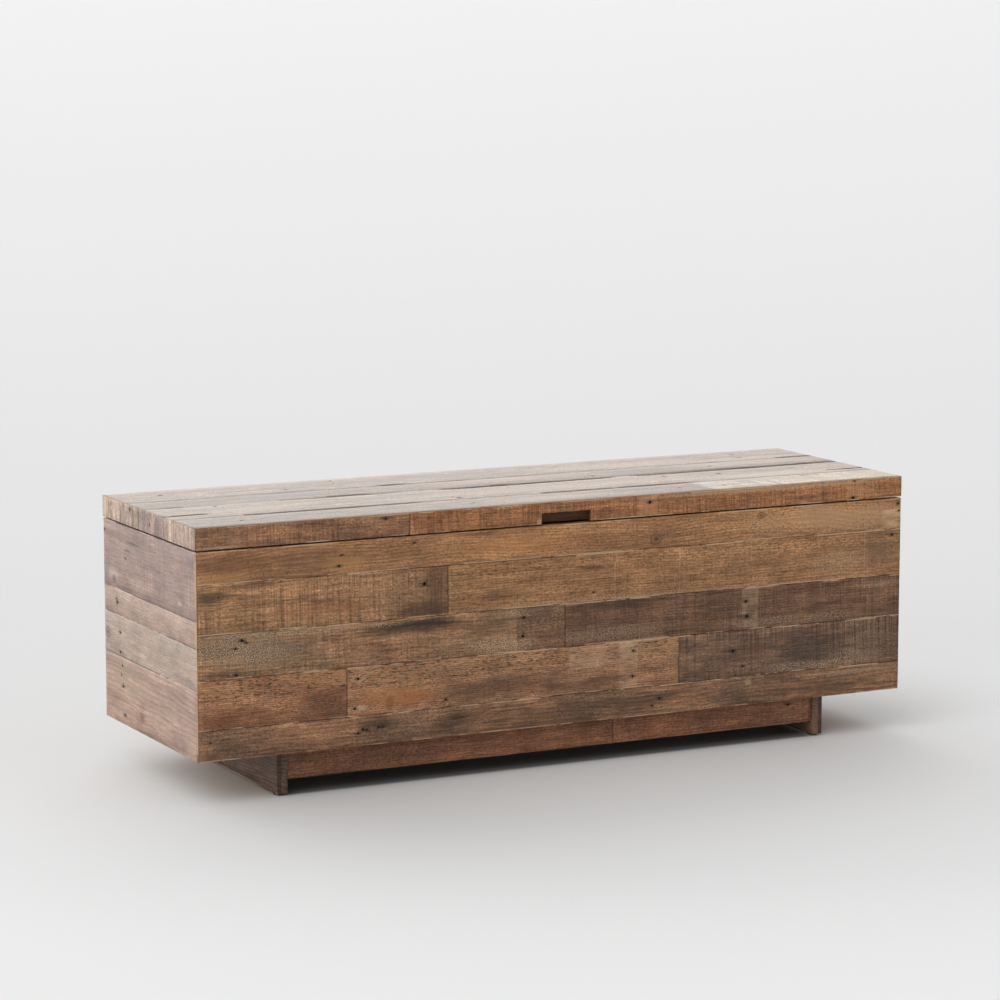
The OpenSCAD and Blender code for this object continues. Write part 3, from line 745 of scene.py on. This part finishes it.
def build_front_wall():
    out = OUTWARD["front"]
    add_board(
        "front_board_1", "front", out, 3.1, light=tone(180, 132, 97), dark=tone(130, 96, 73),
        other=tone(118, 93, 75), patch=0.7, figure=0.24, saw=0.2,
        ring=6, wander=40, joined=(False, True), dashes=[(0, 48, 0.12)],
        holes=[(20, 29, 1.2), (268, 20, 1.8), (276, 26, 2.2), (283, 25, 1.8), (303, 27, 1.6),
               (310, 26, 1.5),
               (806, 26, 2.0), (792, 15, 1.5)],
        blooms=[(300, 36, 44, 12, 0.6, INK), (440, 30, 15, 5, 0.7, RUST), (440, 30, 40, 14, 0.4, INK),
                (804, 28, 40, 14, 0.5, INK), (974, 37, 7, 6, 0.35, CHALK), (600, 20, 200, 22, 0.35, INK),
                (1060, 22, 150, 18, 0.35, INK), (1180, 38, 110, 4, 0.25, CHALK),
                (100, 10, 120, 14, 0.3, INK)])
    add_board(
        "front_board_2", "front", out, 7.7, light=tone(192, 140, 101), dark=tone(162, 113, 82),
        other=tone(155, 109, 80), figure=0.36, saw=0.1, ring=3.0,
        dashes=[(94, 126, 0.85), (60, 126, 0.25)], wander=10,
        blooms=[(60, 66, 90, 16, 0.4, tone(104, 60, 38)), (215, 78, 44, 26, 0.5, tone(84, 54, 40))],
        patches=[(0, 249, 100, 126, 0.35, tone(176, 136, 92))])
    add_board(
        "front_board_3", "front", out, 12.3, light=tone(197, 146, 108), dark=tone(161, 117, 84),
        other=tone(146, 115, 91), figure=0.36, saw=0.12, ring=3.0,
        dashes=[(94, 126, 0.85), (60, 126, 0.25)], wander=10,
        holes=[(757, 109, 1.8), (756, 67, 2.0), (268, 107, 2.2), (262, 60, 2.2), (420, 60, 1.8)],
        blooms=[(335, 76, 70, 16, 0.5, tone(190, 128, 78)), (366, 68, 34, 9, 0.42, tone(178, 98, 56)),
                (322, 62, 7, 16, 0.4, tone(116, 66, 40)), (540, 72, 120, 16, 0.6, tone(88, 58, 46)),
                (268, 60, 16, 5, 0.7, CHALK), (268, 108, 14, 6, 0.5, CHALK),
                (660, 62, 90, 12, 0.5, tone(88, 60, 46))],
        patches=[(249, 842, 98, 126, 0.30, tone(182, 142, 96)), (730, 765, 48, 126, 0.5, CHALK),
                 (640, 730, 88, 122, 0.3, CHALK)])
    add_board(
        "front_board_4", "front", out, 15.9, light=tone(139, 107, 84), dark=tone(104, 79, 61),
        other=tone(96, 77, 62), patch=0.5, figure=0.1, saw=1.25,
        holes=[(944, 92, 3), (963, 65, 1.8)], joined=(True, True),
        blooms=[(1090, 84, 70, 34, 0.45, tone(52, 48, 46)), (1000, 108, 110, 16, 0.35, INK)],
        specks=[(1100, 56, 130, 9, 0.9), (1180, 66, 60, 14, 0.5)])
    add_board(
        "front_board_5", "front", out, 21.2, light=tone(178, 134, 98), dark=tone(141, 105, 76),
        other=tone(145, 119, 90), patch=0.5, figure=0.24, saw=0.5,
        ring=5.5, wander=45, dashes=[(126, 150, 0.2)],
        holes=[(74, 184, 2.4), (81, 180, 1.6), (63, 172, 1.8), (64, 131, 2.2), (558, 180, 2.2),
               (556, 150, 2.4)],
        blooms=[(90, 168, 100, 26, 0.5, tone(98, 84, 76)), (376, 186, 70, 9, 0.9, tone(48, 40, 32)),
                (340, 180, 90, 12, 0.5, INK), (50, 134, 60, 9, 0.6, INK), (470, 176, 70, 16, 0.3, INK)],
        patches=[(545, 633, 126, 196, 0.75, tone(84, 62, 50))],
        specks=[(70, 165, 100, 36, 0.9), (520, 140, 60, 18, 1.0), (200, 190, 190, 6, 0.9),
                (575, 188, 60, 8, 0.8)])
    add_board(
        "front_board_6", "front", out, 26.5, light=tone(132, 97, 73), dark=tone(101, 72, 54),
        other=tone(112, 87, 68), patch=0.4, figure=0.2, saw=0.75,
        holes=[(968, 173, 2.6), (970, 148, 3)], patches=[(960, 992, 127, 196, 0.32, CHALK)],
        blooms=[(740, 188, 100, 8, 0.5, INK)],
        specks=[(720, 140, 130, 14, 0.6), (1050, 136, 190, 10, 0.6), (1220, 182, 50, 10, 0.7)])
    add_board(
        "front_board_7", "front", out, 31.4, light=tone(177, 133, 95), dark=tone(140, 104, 72),
        other=tone(130, 102, 77), figure=0.1, saw=0.95, patch=0.4,
        knots=[(36, 254, 6), (378, 205, 5)], holes=[(383, 248, 3.2)], dashes=[(196, 274, 0.2)],
        blooms=[(30, 256, 44, 14, 0.75, tone(82, 64, 50)), (384, 206, 50, 14, 0.7, tone(74, 54, 42)),
                (400, 230, 26, 60, 0.5, tone(88, 62, 48)), (90, 268, 70, 6, 0.6, tone(92, 66, 48)),
                (200, 220, 110, 8, 0.35, tone(160, 104, 66))],
        patches=[(394, 425, 196, 274, 0.4, tone(96, 68, 52))])
    add_board(
        "front_board_8", "front", out, 37.6, light=tone(185, 138, 96), dark=tone(152, 109, 74),
        other=tone(166, 125, 88), figure=0.24, saw=0.3, patch=0.4,
        wander=30, knots=[(683, 254, 2.4)], dashes=[(196, 274, 0.2), (250, 270, 0.3), (210, 226, 0.2)],
        grain=1.4, mottle=0.7,
        holes=[(1251, 264, 2.2), (684, 211, 1.6)],
        blooms=[(679, 252, 22, 4, 0.6, RUST), (520, 224, 46, 16, 0.35, INK),
                (1232, 236, 40, 50, 0.45, tone(104, 84, 68))],
        patches=[(721.5, 723.5, 198, 258, 0.6, CHALK), (841.5, 843.5, 198, 272, 0.6, CHALK),
                 (1196, 1197.5, 198, 272, 0.5, CHALK)],
        specks=[(700, 199, 300, 5, 0.9), (1150, 226, 60, 22, 0.6)])
    add_board(
        "front_board_9", "front", out, 42.8, light=tone(193, 143, 97), dark=tone(155, 112, 78),
        other=tone(160, 112, 76), figure=0.3, saw=0.12, ring=5, patch=0.4, grain=1.3, mottle=0.7,
        wander=60, slope=0.06, joined=(True, False), knots=[(996, 314, 5.5), (798, 289, 8)],
        holes=[(237, 287, 2.0), (242, 304, 1.4), (366, 314, 1.6), (1262, 316, 2.0), (1264, 304, 1.6)],
        blooms=[(250, 292, 40, 10, 0.5, tone(206, 156, 96)), (60, 306, 150, 14, 0.45, tone(112, 78, 52)),
                (540, 298, 120, 20, 0.4, tone(196, 134, 84)),
                (1120, 302, 170, 24, 0.45, tone(208, 168, 126)),
                (170, 300, 200, 26, 0.35, tone(106, 74, 50)),
                (800, 282, 60, 12, 0.35, tone(120, 84, 56)), (470, 321, 40, 4, 0.6, tone(96, 66, 46)),
                (40, 282, 60, 10, 0.35, tone(190, 140, 86))],
        patches=[(85, 125, 276, 301, 0.5, tone(104, 70, 48)),
                 (1230, 1270, 276, 307, 0.85, tone(214, 180, 144))])


def build_left_wall():
    out = OUTWARD["left"]
    # The left end's tones are paler and pinker than the front's: partly the wood's own colour and partly
    # painted sheen from the light at the left and behind
    calm = {"shine": 0.5, "grain": 1.0, "threads": 0.12, "mottle": 1.0, "grit": 0.26, "rub": 0.4}
    corner = tone(198, 160, 118)
    add_board(
        "left_board_1", "left", out, 51.3, **calm, light=tone(180, 149, 129), dark=tone(152, 122, 106),
        other=tone(160, 135, 119), figure=0.2, saw=0.1,
        ring=8, wander=70, slope=0.08, joined=(False, True), knots=[(238, 26, 7)],
        holes=[(322, 95, 1.8), (326, 79, 1.5), (319, 62, 2.6), (313, 16, 2.8)],
        blooms=[(238, 24, 20, 14, 0.6, tone(140, 100, 76)), (300, 70, 90, 26, 0.3, tone(168, 150, 122)),
                (3, 55, 5, 60, 0.3, corner)])
    add_board(
        "left_board_2", "left", out, 56.8, **calm, light=tone(178, 157, 141), dark=tone(152, 132, 119),
        other=tone(165, 150, 138), figure=0.1, saw=0.1,
        holes=[(330, 148, 2.4), (330, 116, 2.4)], knots=[(386, 140, 9)],
        blooms=[(388, 140, 24, 22, 0.5, tone(134, 118, 104)), (3, 145, 7, 36, 0.5, corner)])
    add_board(
        "left_board_3", "left", out, 61.7, **calm, light=tone(176, 151, 133), dark=tone(154, 128, 112),
        other=tone(166, 143, 128), figure=0.1, saw=0.12,
        holes=[(340, 196, 2.6), (345, 201, 1.6)], blooms=[(3, 197, 7, 24, 0.7, corner)])
    add_board(
        "left_board_4", "left", out, 66.9, **calm, light=tone(164, 139, 126), dark=tone(132, 111, 102),
        other=tone(147, 126, 117), patch=0.6, figure=0.1,
        saw=0.3, ring=6, wander=50, knots=[(354, 232, 6)], holes=[(396, 307, 2), (302, 272, 1.4)],
        blooms=[(22, 312, 20, 12, 0.45, tone(112, 104, 110)), (356, 240, 26, 12, 0.4, tone(196, 178, 160)),
                (270, 300, 26, 3, 0.5, INK), (295, 286, 16, 3, 0.5, INK),
                (70, 236, 9, 4, 0.35, tone(214, 200, 184)),
                (3, 270, 7, 50, 0.7, corner)],
        patches=[(30, 32, 236, 290, 0.6, CHALK), (24, 25, 236, 290, 0.6, INK)])


def build_hidden_walls():
    right, back = OUTWARD["right"], OUTWARD["back"]
    add_board(
        "right_board_1", "right", right, 71.3, light=tone(158, 120, 90), dark=tone(124, 92, 66),
        figure=0.3, saw=0.2, ring=6, wander=50, knots=[(120, 60, 9)],
        holes=[(20, 90, 2), (24, 30, 2.2), (372, 56, 2)])
    add_board(
        "right_board_2", "right", right, 76.1, light=tone(134, 108, 88), dark=tone(104, 82, 66),
        other=tone(96, 82, 70), patch=0.8, figure=0.2, saw=0.8,
        holes=[(30, 150, 2.4), (28, 196, 2), (250, 180, 1.8)],
        blooms=[(300, 150, 70, 30, 0.4, INK)])
    add_board(
        "right_board_3", "right", right, 81.6, light=tone(160, 126, 100), dark=tone(130, 98, 76),
        figure=0.28, saw=0.3, ring=5.5, knots=[(290, 280, 8), (70, 240, 6)],
        holes=[(36, 262, 2), (376, 304, 2)])
    add_board(
        "back_board_1", "back", back, 86.2, light=tone(158, 120, 88), dark=tone(126, 92, 66),
        figure=0.28, saw=0.25, ring=6, wander=60, slope=0.05, knots=[(300, 40, 9), (930, 70, 8)],
        holes=[(90, 30, 2), (92, 80, 2.2), (700, 55, 2), (1180, 34, 2.2), (1182, 84, 2)])
    add_board(
        "back_board_2", "back", back, 91.9, light=tone(134, 108, 86), dark=tone(102, 80, 62),
        other=tone(96, 80, 66), patch=0.8, figure=0.2, saw=0.8, knots=[(980, 160, 8)],
        holes=[(1190, 150, 2.2), (1192, 190, 2), (760, 170, 2)], blooms=[(860, 150, 110, 30, 0.4, INK)])
    add_board(
        "back_board_3", "back", back, 96.4, light=tone(160, 124, 92), dark=tone(130, 98, 70),
        figure=0.25, saw=0.35, ring=5, knots=[(420, 176, 7)],
        holes=[(60, 140, 2), (62, 190, 2), (360, 150, 2.2)], patches=[(340, 376, 110, 217, 0.4, CHALK)])
    add_board(
        "back_board_4", "back", back, 101.8, light=tone(168, 128, 92), dark=tone(134, 100, 70),
        figure=0.3, saw=0.2, ring=6, wander=60, slope=0.05, knots=[(520, 270, 9), (860, 300, 6)],
        holes=[(80, 240, 2), (84, 300, 2.2), (1170, 262, 2), (640, 290, 2)],
        blooms=[(200, 260, 160, 30, 0.3, INK)])


def build_lid():
    up = OUTWARD["lid_top"]
    # The lid top's tones, here and in the lighter and whiter boards, are paler and greyer than the walls':
    # partly the wood's own colour and partly painted sheen from the grazing light behind
    top = {"light": tone(150, 130, 112), "dark": tone(114, 98, 86), "other": tone(146, 122, 104),
           "pale": tone(196, 172, 146), "rough": 0.5, "shine": 0.5, "figure": 0.2, "saw": 0.3,
           "mottle": 2.0, "grain": 2.2, "arris": 0.1, "chip": 0.05, "dent": 0.08, "joined": (False, False),
           "butted": False, "rub": 0.3}
    lighter = {**top, "light": tone(167, 147, 128), "dark": tone(130, 113, 100),
               "other": tone(160, 138, 120)}
    middle_gaps = [(258, 432, 209, 2.2, 5), (512, 836, 206, 4.2, 6), (868, 1300, 203, 4.2, 6)]
    front_gaps = [(112, 424, 91, 1.8, 5), (630, 776, 91, 1.6, 4), (780, 912, 90.5, 2.2, 5)]
    add_board(
        "lid_board_1", "lid_top", up, 111.2, **top, ring=5,
        dips=[(112, 424, 90, 24, 0.12), (630, 912, 90, 24, 0.12)],
        holes=[(96, 47, 2.4), (494, 49, 2.6), (869, 48, 2.4)],
        splits=front_gaps + [(380, 560, 18, 1.6, 3)],
        blooms=[(240, 3, 260, 9, 0.8, tone(128, 90, 64)), (700, 3, 240, 8, 0.8, tone(158, 108, 76)),
                (620, 50, 140, 26, 0.4, tone(186, 160, 134))])
    whiter = {**top, "light": tone(192, 174, 154), "dark": tone(154, 136, 118),
              "other": tone(182, 160, 138),
              "saw": 0.9, "butted": True}
    add_board(
        "lid_board_2", "lid_top", up, 117.3, **whiter, ring=5, holes=[(950, 40, 1.8)],
        blooms=[(1120, 3, 200, 8, 0.75, tone(150, 104, 76))], splits=[(1120, 1160, 82, 2.6, 4)])
    add_board(
        "lid_board_3", "lid_top", up, 122.6, **lighter, ring=6, wander=50,
        holes=[(114, 200, 2.6), (492, 122, 2.4), (500, 106, 2.2), (912, 176, 2.2), (1010, 160, 2)],
        dips=[(258, 432, 210, 24, 0.2), (505, 840, 210, 30, 1.2), (862, 1300, 210, 30, 1.1)],
        splits=middle_gaps + front_gaps + [(-24, 74, 131, 4.5, 6), (1192, 1294, 118, 5, 6),
                                           (430, 475, 178, 2.6, 4)],
        blooms=[(700, 150, 260, 30, 0.4, tone(184, 156, 134)),
                (1100, 120, 150, 30, 0.45, tone(196, 176, 154)),
                (170, 150, 90, 30, 0.4, tone(184, 158, 134))])
    add_board(
        "lid_board_4", "lid_top", up, 127.4, **top, ring=5,
        holes=[(1044, 250, 2.2), (806, 245, 2), (808, 232, 2)],
        splits=middle_gaps + [(70, 230, 211, 2.0, 3)],
        blooms=[(220, 262, 90, 24, 0.5, tone(120, 108, 108)), (640, 262, 200, 22, 0.4, tone(184, 150, 128)),
                (1120, 262, 150, 30, 0.35, tone(190, 160, 140))])
    add_board(
        "lid_board_5", "lid_top", up, 133.8, **lighter, ring=6, wander=50,
        holes=[(286, 320, 2.4), (390, 375, 2.4), (386, 352, 2), (81, 350, 2.4), (1154, 362, 2.2),
               (1144, 322, 2)],
        splits=[(440, 484, 288, 4, 5), (1190, 1294, 285, 3, 5), (160, 290, 338, 2, 3)],
        blooms=[(560, 350, 180, 26, 0.35, tone(120, 106, 102)),
                (1140, 300, 160, 20, 0.4, tone(200, 172, 150)),
                (900, 330, 160, 26, 0.35, tone(190, 166, 142))])
    front, left = OUTWARD["front"], OUTWARD["left"]
    add_board(
        "lid_front_edge_1", "lid_x", front, 141.1, light=tone(163, 119, 86), dark=tone(129, 93, 68),
        other=tone(117, 85, 64), figure=0.1, saw=0.8,
        patch=0.4, rub=0.85, joined=(False, False), holes=[(318, 28, 1.6)],
        blooms=[(318, 29, 14, 3, 0.6, INK), (40, 3, 50, 2, 0.5, CHALK)])
    add_board(
        "lid_front_edge_2", "lid_x", front, 147.5, light=tone(171, 119, 79), dark=tone(139, 93, 62),
        other=tone(151, 101, 67), figure=0.08, saw=0.75,
        patch=0.4, rub=0.85, joined=(False, False), knots=[(392, 24.5, 3), (411, 17.5, 3)],
        holes=[(787, 22.5, 2.6), (1176, 33.0, 2.2), (1174, 3.5, 3.0)],
        blooms=[(395, 18, 30, 14, 0.45, tone(104, 62, 44)), (1000, 30, 270, 4, 0.4, CHALK)],
        patches=[(769, 801, 0, 35, 0.4, tone(200, 152, 110)),
                 (1163, 1194, 0, 35, 0.4, tone(200, 152, 110)), (582, 589, 0, 17, 0.7, CHALK)],
        recesses=[(-0.0445, 0.0445, LID_BASE.z - 0.001, LID_BASE.z + 0.018, LID_BASE.y + 0.0008,
                   LID_BASE.y + 0.0162)])
    # The lid's left end is toned like the left wall: partly the wood's own colour and partly painted sheen
    end = {"shine": 0.5, "pale": tone(226, 198, 166), "figure": 0.2, "saw": 0.25, "ring": 5, "wander": 60,
           "step": 6,
           "mottle": 1.2, "threads": 0.45, "grain": 1.9, "splits": (), "butted": False, "rub": 0.8,
           "joined": (False, False)}
    add_board(
        "lid_left_edge_3", "lid_end", left, 152.2, **end, light=tone(187, 161, 143),
        dark=tone(158, 134, 119), blooms=[(17, 103, 30, 3.2, 0.75, tone(226, 196, 160))])
    add_board(
        "lid_left_edge_2", "lid_end", left, 157.9, **end, light=tone(177, 152, 140),
        dark=tone(144, 122, 113), holes=[(14, 190, 1.6)],
        blooms=[(17, 201, 26, 1.2, 0.7, RUST), (20, 160, 16, 1.0, 0.5, RUST), (16, 130, 18, 0.9, 0.4, RUST),
                (17, 237.5, 24, 1.8, 0.9, RUST)])
    add_board(
        "lid_left_edge_1", "lid_end", left, 161.4, **end, light=tone(199, 172, 153),
        dark=tone(167, 142, 125), holes=[(27, 275, 2.8)],
        blooms=[(14, 262, 20, 1.6, 0.85, RUST), (16, 282, 20, 1.3, 0.6, RUST),
                (18, 372, 24, 1.6, 0.75, RUST),
                (17, 386, 26, 13, 0.35, tone(226, 190, 160)), (12, 318, 14, 0.9, 0.5, RUST)])
    add_board(
        "lid_right_edge", "lid_y", OUTWARD["right"], 166.6, light=tone(160, 122, 92),
        dark=tone(128, 96, 70),
        saw=0.7, holes=[(60, 17, 2), (330, 20, 2)])
    add_board(
        "lid_back_edge", "lid_x", OUTWARD["back"], 172.7, light=tone(160, 118, 86), dark=tone(128, 92, 66),
        saw=0.6, ring=4, holes=[(240, 18, 2), (860, 16, 2.2)])


def build_base():
    front, back = OUTWARD["front"], OUTWARD["back"]
    dark = {"light": tone(164, 112, 82), "dark": tone(130, 88, 64), "other": tone(112, 79, 60),
            "pale": tone(176, 132, 98), "rub": 0.35}
    add_board(
        "base_rail_front_left", "base_x", front, 181.2, **dark, figure=0.2, saw=0.2)
    add_board(
        "base_rail_front_right", "base_x", front, 187.7, **dark, figure=0.2, saw=0.3, holes=[(1066, 58, 2)])
    add_board("base_rail_back", "base_x", back, 191.9, **dark, figure=0.2, saw=0.3)
    add_board(
        "base_side_left", "base_y", OUTWARD["left"], 196.3, light=tone(140, 112, 94),
        dark=tone(102, 80, 66),
        other=tone(96, 78, 66), rub=0.9, figure=0.4, saw=0.1, ring=6, wander=60, slope=0.1)
    add_board(
        "base_side_right", "base_y", OUTWARD["right"], 203.4, light=tone(152, 110, 84),
        dark=tone(116, 84, 64),
        figure=0.15, saw=0.1, ring=6, wander=60, slope=0.1)


def add_floor():
    """A wide pale sweep, lighter far behind and close in front, with a painted shadow under the base and a
    painted light round the chest that thins its cast shadow.
    """
    bm = bmesh.new()
    bmesh.ops.create_grid(bm, x_segments=1, y_segments=1, size=900)
    floor = mesh_object("floor", bm)
    material, kit = new_finish("floor_with_painted_light_and_shadow")
    x, y, z = kit.axes()
    view = look_from(CAMERA_TURN, 0)
    reach = 5.65 - x * view.x - y * view.y
    behind = kit.math("MAXIMUM", 1.0 - kit.math("DIVIDE", 7.0, reach), 0.0)
    before = kit.step(5.7, 4.3, reach)
    paint = 0.65 + behind * 0.075 + before * 0.100
    # Painted shadow: the floor under the base is darkened between the legs
    low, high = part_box("base_side_left")[0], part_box("base_side_right")[1]
    painted_shadow = kit.step(low.x, low.x + 0.03, x) * kit.step(high.x, high.x - 0.03, x)
    painted_shadow = painted_shadow * kit.step(low.y - 0.004, low.y + 0.012, y) * kit.step(high.y, high.y - 0.03, y)
    # Painted light: a pale patch round the chest, strongest to its right, lifts its cast shadow on the
    # floor
    painted_light_reach = ellipse(kit, x, y, (0.4, -0.1, 0.9, 0.8))
    paint = paint * (1.0 + kit.step(1.3, 0.2, painted_light_reach) * 0.18)
    paint = paint * (1.0 - painted_shadow * 0.75)
    kit.finish({"Base Color": kit.vector(paint, paint, paint), "Roughness": 0.95})
    floor.data.materials.append(material)


def head_crosses(bm, middle, face_z, size, down):
    """Two crossed blades, tapered, that cut the driver recess of a screw."""
    for turn in (0, 90):
        made = bmesh.ops.create_cube(bm, size=1.0)
        for vert in made["verts"]:
            slim = 0.55 if (vert.co.z < 0) == down else 1.0
            vert.co = Vector((vert.co.x * size * slim, vert.co.y * size * 0.2, vert.co.z * size * 0.9))
        spin = Matrix.Translation((*middle, face_z)) @ Matrix.Rotation(math.radians(turn + 20), 4, "Z")
        bmesh.ops.transform(bm, matrix=spin, verts=made["verts"])


def separate_solids(bm):
    """The low and high corners of each loose solid of a mesh."""
    left = set(bm.verts)
    corners = []
    while left:
        queue = [left.pop()]
        members = list(queue)
        while queue:
            for edge in queue.pop().link_edges:
                for vert in edge.verts:
                    if vert in left:
                        left.remove(vert)
                        queue.append(vert)
                        members.append(vert)
        corners.append([Vector((f(m.co[i] for m in members) for i in range(3))) for f in (min, max)])
    return corners


def add_screws(node, size, heads_up, finish):
    """Countersunk screws with a cross recess."""
    bm = bmesh.new()
    bm.from_mesh(frame["nodes"][node].data)
    bmesh.ops.remove_doubles(bm, verts=bm.verts, dist=1e-6)
    cutter = bmesh.new()
    for low, high in separate_solids(bm):
        middle = (low + high) / 2
        face_z = high.z if heads_up else low.z
        head_crosses(cutter, (middle.x, middle.y), face_z, size * MM, heads_up)
    piece = mesh_object("cut_" + node, bm)
    carve(piece, mesh_object("cutter", cutter), True)
    dress(piece, node, finish)


def dress(piece, node, finish, degrees=35):
    smooth(piece, degrees)
    piece.data.materials.clear()
    piece.data.materials.append(finish)
    stand_for(piece, node)


def add_eased_part(node, width, finish, segments=2):
    """A made part in place of its CAD node, with its sharp edges eased."""
    bm = solid_of(node)
    sharp = [e for e in bm.edges
             if len(e.link_faces) == 2 and e.calc_face_angle() > math.radians(60)]
    bmesh.ops.bevel(
        bm, geom=sharp, offset=width * MM, offset_type="OFFSET", affect="EDGES",
        segments=segments, profile=0.5, material=-1, clamp_overlap=True)
    piece = mesh_object("eased_" + node, bm)
    dress(piece, node, finish)


def build_hardware():
    steel = raw_steel("hinge_steel_brushed", 1.0)
    zinc = raw_steel("screw_zinc", 6.0)
    rubber = soft_rubber("soft_rubber")
    for side in ("left", "right"):
        for leaf in ("box_leaf", "lid_leaf"):
            add_eased_part("hinge_" + side + "_" + leaf, 0.18, steel)
        add_eased_part("hinge_" + side + "_pin", 0.3, zinc)
    add_screws("base_screws", 4.2, True, zinc)
    add_screws("hinge_box_screws", 3.2, True, zinc)
    add_screws("hinge_lid_screws", 3.2, False, zinc)
    add_screws("lid_batten_screws", 3.8, False, zinc)
    add_eased_part("glides", 0.6, rubber)
    add_eased_part("rim_bumpers", 0.5, rubber)


def build_carcass():
    """The plain new wood inside: cleats, posts, battens and the bottom panel."""
    pine = {"light": tone(190, 152, 112), "dark": tone(160, 122, 86), "other": tone(172, 132, 94),
            "pale": tone(208, 176, 138), "figure": 0.24, "saw": 0.12, "mottle": 0.5, "grain": 0.9,
            "grit": 0.1, "rub": 0.2, "joined": (False, False), "butted": False, "step": 40.0}
    up, down = Vector((0, 0, 1)), Vector((0, 0, -1))
    add_board("front_cleat", "floor_x", down, 211.2, **pine)
    add_board("back_cleat", "floor_x", down, 217.8, **pine)
    posts = ("front_left", "front_right", "back_left", "back_right")
    for i, corner in enumerate(posts):
        add_board("corner_post_" + corner, "post", up, 221.5 + 5.3 * i, **pine)
    for i, place in enumerate(("left", "middle", "right")):
        add_board("lid_batten_" + place, "floor_y", down, 251.7 + 6.1 * i, **pine)
    add_eased_part("bottom_panel", 0.8, veneer("plywood_panel"))


add_camera()
light_studio()
add_floor()
build_front_wall()
build_left_wall()
build_hidden_walls()
build_lid()
build_base()
build_carcass()
build_hardware()
